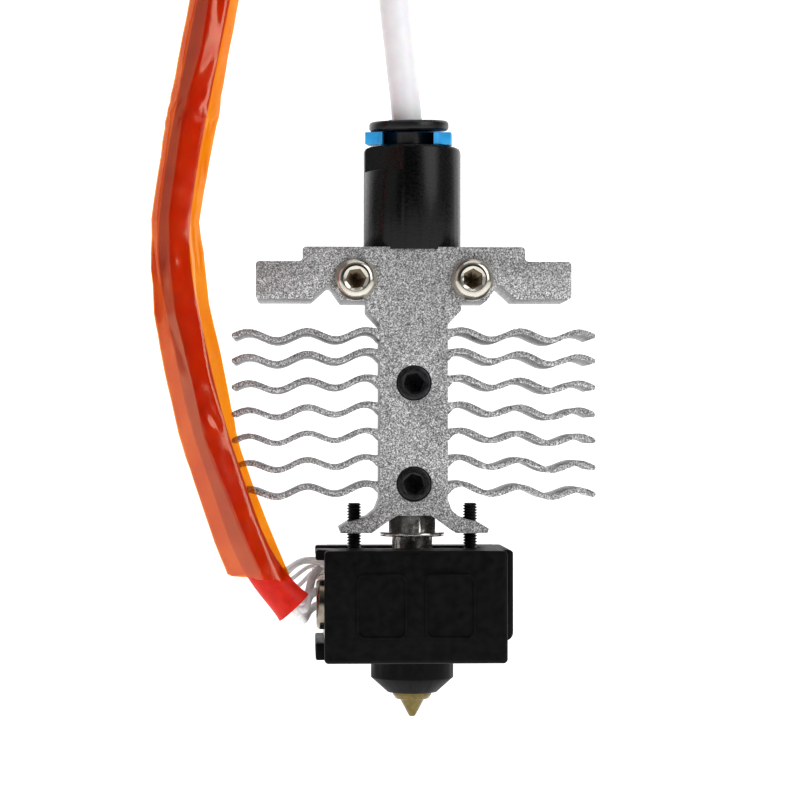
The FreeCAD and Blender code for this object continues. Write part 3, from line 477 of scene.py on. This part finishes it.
def swept(name, points, around, radius_at, mouth_start=None, mouth_end=None):
    """A closed tube along points. radius_at(i, angle) gives its radius in metres.

    mouth_start and mouth_end are (bore radius, depth) of an open end, or None for a flat cap."""
    axes = frames_along(points)
    verts, rings = [], []

    def add_ring(index, radius_of):
        middle, (_, side, top) = points[index], axes[index]
        rings.append(len(verts))
        for k in range(around):
            angle = 2 * math.pi * k / around
            outward = side * math.cos(angle) + top * math.sin(angle)
            verts.append(middle + outward * radius_of(angle))

    def bore_index(depth, from_end):
        """The point a depth along the line from one of its ends."""
        walked, i, step = 0.0, (len(points) - 1 if from_end else 0), (-1 if from_end else 1)
        while walked < depth and 0 <= i + step < len(points):
            walked += (points[i + step] - points[i]).length
            i += step
        return i

    if mouth_start:
        add_ring(bore_index(mouth_start[1], False), lambda angle: mouth_start[0])
        add_ring(0, lambda angle: mouth_start[0])
    for i in range(len(points)):
        add_ring(i, lambda angle, i=i: radius_at(i, angle))
    if mouth_end:
        add_ring(len(points) - 1, lambda angle: mouth_end[0])
        add_ring(bore_index(mouth_end[1], True), lambda angle: mouth_end[0])
    faces = []
    for a, b in zip(rings, rings[1:]):
        for k in range(around):
            following = (k + 1) % around
            faces.append((a + k, a + following, b + following, b + k))
    faces.append(tuple(range(rings[0], rings[0] + around)))
    faces.append(tuple(range(rings[-1] + around - 1, rings[-1] - 1, -1)))
    mesh = mesh_from(name, verts, faces)
    mesh.set_sharp_from_angle(angle=CREASE_ANGLE)
    return mesh


# ---------------------------------------------------------------- cords
LEAD_ROUTE = [
    (-16.4, -16.4, -44.6), (-19.6, -16.6, -41.2), (-22.6, -16.8, -36.0), (-25.2, -16.6, -28.4),
    (-28.4, -16.7, -19.0), (-30.8, -16.4, -8.0), (-33.0, -16.2, 3.0), (-31.8, -16.3, 14.6),
    (-29.6, -16.2, 26.0), (-27.2, -15.9, 38.5), (-24.6, -15.8, 50.0), (-23.0, -15.6, 61.0),
    (-22.4, -15.7, 71.5), (-22.6, -15.6, 81.5),
]
TUBE_ROUTE = [
    (0, -6, 2.0), (0, -6, 17.5), (-2.45, -7.9, 37.2), (-3.9, -7.4, 52.0), (-4.2, -6, 63.0),
]
TUBE_R, TUBE_BORE_R, TUBE_BORE_DEEP, TUBE_STEP = 2.0, 1.0, 12, 1.0
TUBE_FULLER = 0.1  # how much fuller than its nominal radius the tube is drawn
SLEEVE_R, SLEEVE_BORE_R, SLEEVE_BORE_DEEP, SLEEVE_STEP = 2.2, 1.75, 8, 0.6
MOUTH_FLARE = 0.38  # how much wider the sleeve is at its lower mouth
COIL_CENTRE, COIL_R, COIL_STEPS = (18.8, 72.0), 23.42, 16
COIL_TURNS, COIL_FROM_Y, COIL_TO_Y = 2.25, -6.0, 4.0
TAIL_TURN, TAIL_END = 9.0, 46.0  # where the tube's free end leaves the coil and where it stops
WIRE_STEP = 0.35


def coil_route():
    """Control points of the spare tube's turns, clockwise from the ring's left side."""
    steps = round(COIL_TURNS * COIL_STEPS)
    route = []
    for k in range(steps + 1):
        angle = math.pi - 2 * math.pi * k / COIL_STEPS
        y = COIL_FROM_Y + (COIL_TO_Y - COIL_FROM_Y) * k / steps
        route.append((COIL_CENTRE[0] + COIL_R * math.cos(angle), y,
                      COIL_CENTRE[1] + COIL_R * math.sin(angle)))
    return route


def make_bowden_tube():
    """The feed tube from the coupler through its coil to its open end."""
    tail_level = COIL_CENTRE[1] + COIL_R * math.cos(math.pi / COIL_STEPS)
    tail = [(COIL_CENTRE[0] + TAIL_TURN, COIL_TO_Y, tail_level), (TAIL_END, COIL_TO_Y, tail_level)]
    path = even_points(curve_points(TUBE_ROUTE + coil_route() + tail), TUBE_STEP * MM)
    mesh = swept("bowden_tube", path, 40, lambda i, angle: (TUBE_R + TUBE_FULLER) * MM,
                 mouth_end=(TUBE_BORE_R * MM, TUBE_BORE_DEEP * MM))
    piece = placed("bowden_tube_full", mesh, "bowden_tube")
    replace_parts(piece, "bowden_tube", "bowden_coil", "bowden_tail")


def make_sleeve():
    """The red silicone sleeve, slightly uneven, with an open mouth at both ends."""
    path = even_points(curve_points(LEAD_ROUTE), SLEEVE_STEP * MM)
    mouth = (SLEEVE_BORE_R * MM, SLEEVE_BORE_DEEP * MM)

    def radius_at(i, angle):
        flare = MOUTH_FLARE * math.exp(-i / 2.2)
        wobble = 0.10 * noise.noise(Vector((i * 0.05, math.cos(angle), math.sin(angle))))
        squeeze = 0.10 * math.cos(2 * angle + i * 0.03)
        return (SLEEVE_R + flare + wobble + squeeze) * MM

    mesh = swept("lead_sleeve", path, 40, radius_at, mouth, mouth)
    piece = placed("lead_sleeve_tube", mesh, "lead_sleeve")
    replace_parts(piece, "lead_sleeve")
    return piece, path


FILM_ROUTE = [(-19.0, -16.65, -43.0)] + LEAD_ROUTE[2:12] + [(-22.7, -15.65, 66.0)]
# the film's reach to its left and right of the cable, in mm, in equal steps from its lower end,
# measured on the real one's outline and rounded
FILM_LEFT = [4.7, 4.1, 4.0, 3.9, 3.7, 3.1, 2.9, 2.9, 3.0, 3.1, 3.0, 3.0]
FILM_RIGHT = [2.8, 3.2, 2.8, 3.8, 3.6, 3.3, 3.6, 3.4, 3.2, 3.1, 3.0, 3.0]
# a point of the film's slanting lower edge, and the way up from that edge
FILM_CUT, FILM_CUT_WAY = (-21.0, -16.7, -40.7), (0.09, 0, 1)
FILM_LEAST = 2.72  # its radius where it lies on the cable, in mm
FILM_NECK = 0.452  # where the film is pinched, as a share of its length
# the corners of the film's section, in degrees from its right-hand fold
FILM_CORNERS = [0, 50, 105, 150, 180, 222, 262, 310]
# the corners at which the sheet starts, behind, and ends, more than once round
FILM_FIRST, FILM_LAST = 2, 14
FILM_LAP, FILM_THICK, FILM_STEP = 0.14, 0.05, 0.8  # between its layers, its own, along it; mm
# the levels where the film is most crumpled, and how far above and below that reaches, in mm
FILM_CRUMPLES, FILM_CRUMPLE_REACH = (1.5, -21.0, 22.0), 2.6


def between(values, share):
    """The value at a share of the way along a list of equally spaced values."""
    place = share * (len(values) - 1)
    k = min(int(place), len(values) - 2)
    return values[k] + (values[k + 1] - values[k]) * (place - k)


def film_section(share, dice):
    """The film's corners round the cable at one station, as angles and radii in mm."""
    left, right = between(FILM_LEFT, share), between(FILM_RIGHT, share)
    neck = math.exp(-((share - FILM_NECK) / 0.02) ** 2)
    right -= (right - FILM_LEAST) * neck
    crest = FILM_LEAST + dice.uniform(0, 0.25)
    radii = [right, FILM_LEAST + dice.uniform(0, 0.3), FILM_LEAST, left * 0.82, left, 0, crest,
             FILM_LEAST + (right - FILM_LEAST) * 0.45 + dice.uniform(0, 0.2)]
    # the corner between the left-hand fold and the crest lies near the straight line between them
    a, m, b = (math.radians(corner) for corner in FILM_CORNERS[4:7])
    chord = left * crest * math.sin(b - a) / (left * math.sin(m - a) + crest * math.sin(b - m))
    radii[5] = max(chord + dice.uniform(-0.1, 0.3), FILM_LEAST - 0.05)
    turns = [dice.uniform(-9, 9) for _ in FILM_CORNERS]
    turns[4] = turns[0] = 0
    angles = [math.radians(corner + turn) for corner, turn in zip(FILM_CORNERS, turns)]
    return list(zip(angles, radii))


def film_facets(path):
    """The film's folds: stations along it with uneven corners, joined by triangles.

    The sheet goes round more than once, so part of it lies in two layers."""
    dice = random.Random(11)
    axes = frames_along(path)
    stations, at = [], 0
    while at < len(path) - 4:
        stations.append(at)
        at += dice.choice((5, 7, 9, 12, 15))
    stations.append(len(path) - 1)
    verts, columns = [], FILM_LAST - FILM_FIRST + 1
    for i in stations:
        along = axes[i][0]
        side = (Vector((1, 0, 0)) - along * along.x).normalized()
        back = along.cross(side)
        section = film_section(i / (len(path) - 1), dice)
        for c in range(FILM_FIRST, FILM_LAST + 1):
            angle, radius = section[c % len(section)]
            radius += FILM_LAP * (c - FILM_FIRST) / len(section)
            outward = side * math.cos(angle) + back * math.sin(angle)
            verts.append(path[i] + outward * radius * MM)
    faces = []
    for j in range(len(stations) - 1):
        for c in range(columns - 1):
            a = j * columns + c
            b, d, e = a + 1, a + columns, a + columns + 1
            faces += [(a, b, e), (a, e, d)] if (j + c) % 2 else [(a, b, d), (b, e, d)]
    return verts, faces


def make_film():
    """The loose crumpled film: broad flat facets with slightly softened folds."""
    path = even_points(curve_points(FILM_ROUTE), FILM_STEP * MM)
    verts, faces = film_facets(path)
    bm = bmesh.new()
    corners = [bm.verts.new(v) for v in verts]
    for face in faces:
        bm.faces.new([corners[k] for k in face])
    bmesh.ops.subdivide_edges(bm, edges=bm.edges[:], cuts=5, use_grid_fill=True)
    bmesh.ops.triangulate(bm, faces=[f for f in bm.faces if len(f.verts) > 4])
    bmesh.ops.bisect_plane(bm, geom=bm.verts[:] + bm.edges[:] + bm.faces[:],
                           plane_co=Vector(FILM_CUT) * MM, plane_no=Vector(FILM_CUT_WAY),
                           clear_inner=True)
    for _ in range(2):
        bmesh.ops.smooth_vert(bm, verts=bm.verts, factor=0.25,
                              use_axis_x=True, use_axis_y=True, use_axis_z=True)
    bm.normal_update()
    for vert in bm.verts:
        crumple = sum(math.exp(-((vert.co.z / MM - level) / FILM_CRUMPLE_REACH) ** 2)
                      for level in FILM_CRUMPLES)
        vert.co += vert.normal * 0.07 * MM * (noise.noise(vert.co / (1.6 * MM)) + 1)
        vert.co += vert.normal * 0.30 * crumple * MM * (noise.noise(vert.co / (1.3 * MM)) + 0.5)
    sheet = bpy.data.meshes.new("film_wrap")
    bm.to_mesh(sheet)
    bm.free()

    def setup(helper):
        thick = helper.modifiers.new("thick", "SOLIDIFY")
        thick.thickness = FILM_THICK * MM
        thick.offset = 0

    mesh = with_modifiers("film_wrap", sheet, setup)
    mesh.shade_smooth()
    mesh.set_sharp_from_angle(angle=CREASE_ANGLE)
    piece = placed("film_wrap_sheet", mesh, "film_wrap")
    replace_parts(piece, "film_wrap")
    return piece


def wire(node, routes, radius):
    """Insulated wires along short routes, as one piece that stands for a CAD node."""
    bm = bmesh.new()
    for route in routes:
        path = even_points(curve_points(route), WIRE_STEP * MM)
        bm.from_mesh(swept(node, path, 20, lambda i, angle: radius * MM))
    mesh = bpy.data.meshes.new(node)
    bm.to_mesh(mesh)
    bm.free()
    mesh.set_sharp_from_angle(angle=CREASE_ANGLE)
    piece = placed(f"{node}_wire", mesh, node)
    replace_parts(piece, node)
    return piece


def make_wires():
    """The leads between the block and the sleeve, and their tails at the sleeve's upper end."""
    wire("heater_lead_a", [
        [(-12.9, -12.4, -44.4), (-14.3, -12.5, -45.0), (-15.0, -14.2, -46.4), (-15.3, -16.2, -46.4),
         (-16.4, -16.8, -44.8), (-18.2, -16.8, -42.4)],
        [(-12.9, -11.6, -39.6), (-13.9, -12.2, -40.4), (-14.3, -13.4, -42.2), (-14.9, -15.4, -44.3),
         (-16.4, -16.2, -44.4), (-18.4, -16.4, -42.0)],
    ], 0.55)
    wire("heater_lead_b", [
        [(-12.9, -13.9, -42.6), (-14.2, -14.1, -42.7), (-14.8, -15.3, -44.3), (-15.2, -16.2, -45.2),
         (-16.6, -16.3, -44.6), (-18.3, -16.3, -42.2)],
    ], 0.6)
    wire("thermistor_lead_a", [
        [(-11.9, -2.6, -39.0), (-13.9, -3.4, -38.6), (-15.8, -7.0, -38.7), (-17.6, -11.0, -39.9),
         (-19.6, -13.9, -39.8), (-21.8, -14.1, -37.0)],
        [(-11.9, -1.8, -39.8), (-14.0, -2.8, -39.6), (-15.4, -7.0, -40.2), (-17.0, -11.4, -41.4),
         (-19.4, -13.8, -40.6), (-21.4, -14.0, -37.4)],
    ], 0.3)
    wire("thermistor_lead_b", [
        [(-12.0, -2.2, -39.4), (-14.4, -3.0, -39.0), (-16.2, -7.4, -39.3), (-17.6, -11.6, -40.6),
         (-19.9, -14.0, -40.2), (-22.2, -14.2, -36.4)],
        [(-12.0, -3.2, -40.2), (-13.6, -4.6, -40.2), (-14.8, -8.4, -41.2), (-16.2, -12.4, -42.4),
         (-18.6, -13.9, -41.6), (-20.8, -14.0, -38.4)],
    ], 0.3)
    end = LEAD_ROUTE[-1]
    tails = []
    for name, side, radius, reach in (("heater", -1, 0.6, 15.5), ("thermistor", 1, 0.45, 11.5)):
        for letter, offset in (("a", -1), ("b", 1)):
            y_in, y_out = end[1] + offset, end[1] + offset * 1.25
            x_in = end[0] + side
            route = [
                (x_in, y_in, end[2] - 4), (x_in + side * 0.3, y_in, end[2] + 5),
                (x_in + side * 3.4, (y_in + y_out) / 2, end[2] + 10),
                (end[0] + side * (reach - 3), y_out, end[2] + 9.4),
                (end[0] + side * reach, y_out, end[2] + 3),
                (end[0] + side * reach, y_out, end[2] - 5),
            ]
            tails.append(wire(f"{name}_tail_{letter}", [route], radius))
    return tails


make_bowden_tube()
sleeve, sleeve_path = make_sleeve()
film = make_film()
tails = make_wires()


# ---------------------------------------------------------------- screws with real threads
THREAD_STEPS, THREAD_TAPER = 12, 0.3  # steps in one pitch, and the run-out at each end in mm
THREAD_ROOT, THREAD_FLANK = 0.12, 0.72  # shares of the tooth's profile


def thread_mesh(name, minor, major, pitch, low, high, around=48):
    """A right-hand thread about the local Z axis, closed at both ends; all in millimetres."""
    rows = max(2, round((high - low) / pitch * THREAD_STEPS))
    verts = []
    for i in range(rows + 1):
        z = low + (high - low) * i / rows
        for k in range(around):
            turn = k / around
            phase = (z / pitch - turn) % 1.0
            tooth = 1 - abs(2 * phase - 1)
            tooth = min(max((tooth - THREAD_ROOT) / THREAD_FLANK, 0.0), 1.0)
            edge = min(1.0, (z - low) / THREAD_TAPER, (high - z) / THREAD_TAPER)
            radius = minor + (major - minor) * tooth * max(edge, 0.0)
            angle = 2 * math.pi * turn
            verts.append(Vector((radius * math.cos(angle), radius * math.sin(angle), z)) * MM)
    mesh = closed_rings(name, verts, around, rows + 1)
    mesh.set_sharp_from_angle(angle=math.radians(60))
    return mesh


def facing_front(node):
    """The turn and place that stand a screw's local Z axis towards the front, on a node's axis."""
    low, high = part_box(node)
    middle = (low + high) / 2
    return Matrix.Translation((middle.x, 0, middle.z)) @ Matrix.Rotation(math.pi / 2, 4, "X")


# the clamp screws, in mm above their lower ends: where the drawn thread starts, and where the
# CAD screw's faces are left out to make room for it
CLAMP_THREAD_FROM, CLAMP_HEAD_TO = 1.6, 2.2


def make_clamp_screws():
    """The long black screws whose threaded ends stand above the heatsink's feet."""
    for side in ("left", "right"):
        node = f"block_screw_{side}"
        low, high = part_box(node)
        middle = (low + high) / 2
        mesh = thread_mesh(node, 0.76, 1.0, 0.4, low.z / MM + CLAMP_THREAD_FROM, high.z / MM)
        mesh.transform(Matrix.Translation((middle.x, middle.y, 0)))
        thread = placed(f"{node}_thread", mesh, node)
        head = eased(node, 0.08, drop=lambda c, level=low.z + CLAMP_HEAD_TO * MM: c.z > level)
        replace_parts(thread, node)
        head.name = f"{node}_head"


def turned_solid(name, rings, around=96):
    """A closed piece about the local Z axis, from (radius, height) rings in mm.

    A ring's radius is a number or a function of the angle."""
    verts = []
    for radius, height in rings:
        for k in range(around):
            angle = 2 * math.pi * k / around
            r = radius(angle) if callable(radius) else radius
            verts.append(Vector((r * math.cos(angle), r * math.sin(angle), height)) * MM)
    return closed_rings(name, verts, around, len(rings))


def hexagon(across, rotation):
    """The radius of a hexagon of a width across its flats, at an angle."""
    def radius(angle):
        share = (angle - rotation) % (math.pi / 3) - math.pi / 6
        return across / 2 / math.cos(share)
    return radius


def dome(base_r, top_r, low, high, steps=10):
    """The rings of a quarter round from a wide low ring to a narrow high one."""
    return [(top_r + (base_r - top_r) * math.cos(math.pi / 2 * k / steps),
             low + (high - low) * math.sin(math.pi / 2 * k / steps)) for k in range(steps + 1)]


def make_mount_screws():
    """Polished button heads with hexagon sockets on threaded shanks that leave the back face."""
    seat, top = SCREW_SEAT, SCREW_SEAT + SCREW_HIGH
    for side, rotation in (("left", 0.12), ("right", 0.50)):
        node = f"mount_screw_{side}"
        place = facing_front(node)
        socket = hexagon(2.5, rotation)
        rings = [(1.5, seat - 0.6), (1.5, seat), (2.85, seat), (2.95, seat + 0.1)]
        rings += dome(2.95, 1.78, seat + 0.2, top)
        rings += [(1.72, top), (1.66, top - 0.04), (socket, top - SOCKET_TOP),
                  (socket, top - 1.0), (0.15, top - 1.75)]
        head = turned_solid(node, rings)
        head.set_sharp_from_angle(angle=math.radians(24))
        head.transform(place)
        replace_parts(placed(f"{node}_head", head, node), node)
        thread = thread_mesh(node, 1.2, 1.5, 0.5, -8.0, seat - 0.4)
        thread.transform(place)
        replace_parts(placed(f"{node}_thread", thread, node), node)


def make_set_screws():
    """Black grub screws: a rounded rim and a deep hexagon socket with a chamfered mouth."""
    for level, rotation in (("upper", 0.2), ("lower", 0.75)):
        node = f"set_screw_{level}"
        front = -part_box(node)[0].y / MM
        socket = hexagon(2.55, rotation)
        rings = [(0.6, front - 2.75), (1.9, front - 2.75), (2.4, front - 2.25), (2.4, front - 0.42)]
        rings += [(2.4 - 0.4 * (1 - math.cos(t)), front - 0.42 + 0.4 * math.sin(t))
                  for t in (0.3, 0.6, 0.9, 1.2, math.pi / 2)]
        rings += [(1.72, front - 0.02), (1.60, front - 0.12), (1.56, front - 0.6),
                  (socket, front - 0.65), (socket, front - 1.2), (0.1, front - 2.6)]
        mesh = turned_solid(node, rings)
        mesh.set_sharp_from_angle(angle=math.radians(38))
        mesh.transform(facing_front(node))
        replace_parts(placed(f"{node}_turned", mesh, node), node)


make_clamp_screws()
make_mount_screws()
make_set_screws()


# ---------------------------------------------------------------- hard pieces from the frame
# how wide each piece's edges are eased, in mm, and in how many steps
EASED = {
    "heatsink": (0.10, 2), "coupler_barrel": (0.12, 2), "coupler_insert": (0.1, 1),
    "grip_claw": (0.05, 1), "collet": (0.14, 3), "locking_clip": (0.6, 5),
    "heat_break": (0.08, 2), "heater_block": (0.2, 2), "nozzle": (0.07, 2),
    "heater_cartridge": (0.15, 2), "thermistor": (0.1, 2), "cartridge_set_screw": (0.08, 1),
    "thermistor_set_screw": (0.08, 1),
    "silicone_sock": (0.14, 2), "heater_plug": (0.15, 2), "thermistor_plug": (0.15, 2),
    "heater_terminals": (0.05, 1), "thermistor_terminals": (0.05, 1), "throat_liner": (0.05, 1),
}
OTHER_LOOKS = {"heater_cartridge": "cartridge_steel"}
for node, (width, segments) in EASED.items():
    eased(node, width, segments, OTHER_LOOKS.get(node))

for node in ("seal_ring", "coil_tie"):
    piece = frame["nodes"][node]
    piece.data.materials.clear()
    piece.data.materials.append(MATERIALS[SLOT_OF[node]])


# ---------------------------------------------------------------- floor and lights
FLOOR_LEVEL, WALL_Y, FLOOR_BEND, BEND_STEPS = -0.16, 0.75, 0.25, 16
HALF_WIDE, FRONT_Y, WALL_TOP = 1.6, -1.6, 1.4
# distances from the object, and the floor's glow there
GLOW_REACH, GLOW = (0.24, 0.44), (1.2, 0.97)
# the world is darker right in front of the object: directions by their Y, and the strengths there
DARK_PATCH, WORLD_STRENGTH = (-0.93, -0.62), (0.03, 0.26)
LIT_POINT = (0, 0, -0.01)


def stage_material():
    """White, and brighter under the object than at the back, as over a lit table."""
    material, links = new_material("studio_white")
    nodes = material.node_tree.nodes
    shader = shader_of(material)
    shader.inputs["Base Color"].default_value = (0.55, 0.55, 0.55, 1)
    shader.inputs["Roughness"].default_value = 0.9
    shader.inputs["Emission Color"].default_value = (1, 1, 1, 1)
    place = nodes.new("ShaderNodeTexCoord")
    apart = nodes.new("ShaderNodeVectorMath")
    apart.operation = "LENGTH"
    links.new(place.outputs["Object"], apart.inputs[0])
    fade = map_range(material, apart.outputs["Value"], GLOW_REACH, GLOW)
    links.new(fade, shader.inputs["Emission Strength"])
    return material


def make_stage():
    """A white sweep: floor, curve and back wall in one sheet."""
    profile = [(FRONT_Y, FLOOR_LEVEL), (WALL_Y - FLOOR_BEND, FLOOR_LEVEL)]
    for k in range(1, BEND_STEPS + 1):
        angle = math.pi / 2 * k / BEND_STEPS
        profile.append((WALL_Y - FLOOR_BEND + FLOOR_BEND * math.sin(angle),
                        FLOOR_LEVEL + FLOOR_BEND * (1 - math.cos(angle))))
    profile.append((WALL_Y, WALL_TOP))
    verts = [Vector((x, y, z)) for y, z in profile for x in (-HALF_WIDE, HALF_WIDE)]
    faces = [(2 * i, 2 * i + 1, 2 * i + 3, 2 * i + 2) for i in range(len(profile) - 1)]
    mesh = mesh_from("studio_floor", verts, faces)
    mesh.materials.append(stage_material())
    floor = bpy.data.objects.new("studio_floor", mesh)
    bpy.context.scene.collection.objects.link(floor)


def area_light(name, place, size, power):
    """A white rectangular light that faces the object."""
    data = bpy.data.lights.new(name, "AREA")
    data.shape = "RECTANGLE"
    data.size, data.size_y = size
    data.energy = power
    light = bpy.data.objects.new(name, data)
    light.location = place
    towards = Vector(LIT_POINT) - Vector(place)
    light.rotation_euler = towards.to_track_quat("-Z", "Y").to_euler()
    bpy.context.scene.collection.objects.link(light)


def make_lights():
    """Soft white studio light, with a key light from the upper right."""
    world = bpy.data.worlds.new("studio")
    bpy.context.scene.world = world
    world.use_nodes = True
    nodes, links = world.node_tree.nodes, world.node_tree.links
    nodes["Background"].inputs["Color"].default_value = (1, 1, 1, 1)
    way = nodes.new("ShaderNodeTexCoord")
    apart = nodes.new("ShaderNodeSeparateXYZ")
    links.new(way.outputs["Generated"], apart.inputs["Vector"])
    strength = map_range(world, apart.outputs["Y"], DARK_PATCH, WORLD_STRENGTH, "SMOOTHSTEP")
    links.new(strength, nodes["Background"].inputs["Strength"])
    area_light("key", (0.34, -0.36, 0.22), (0.30, 0.45), 1.25)
    area_light("fill", (-0.60, -0.22, 0.05), (0.5, 0.8), 0.45)
    area_light("top", (0.0, -0.05, 0.5), (0.5, 0.4), 0.6)
    bpy.context.scene.view_settings.view_transform = "Standard"


make_stage()
make_lights()
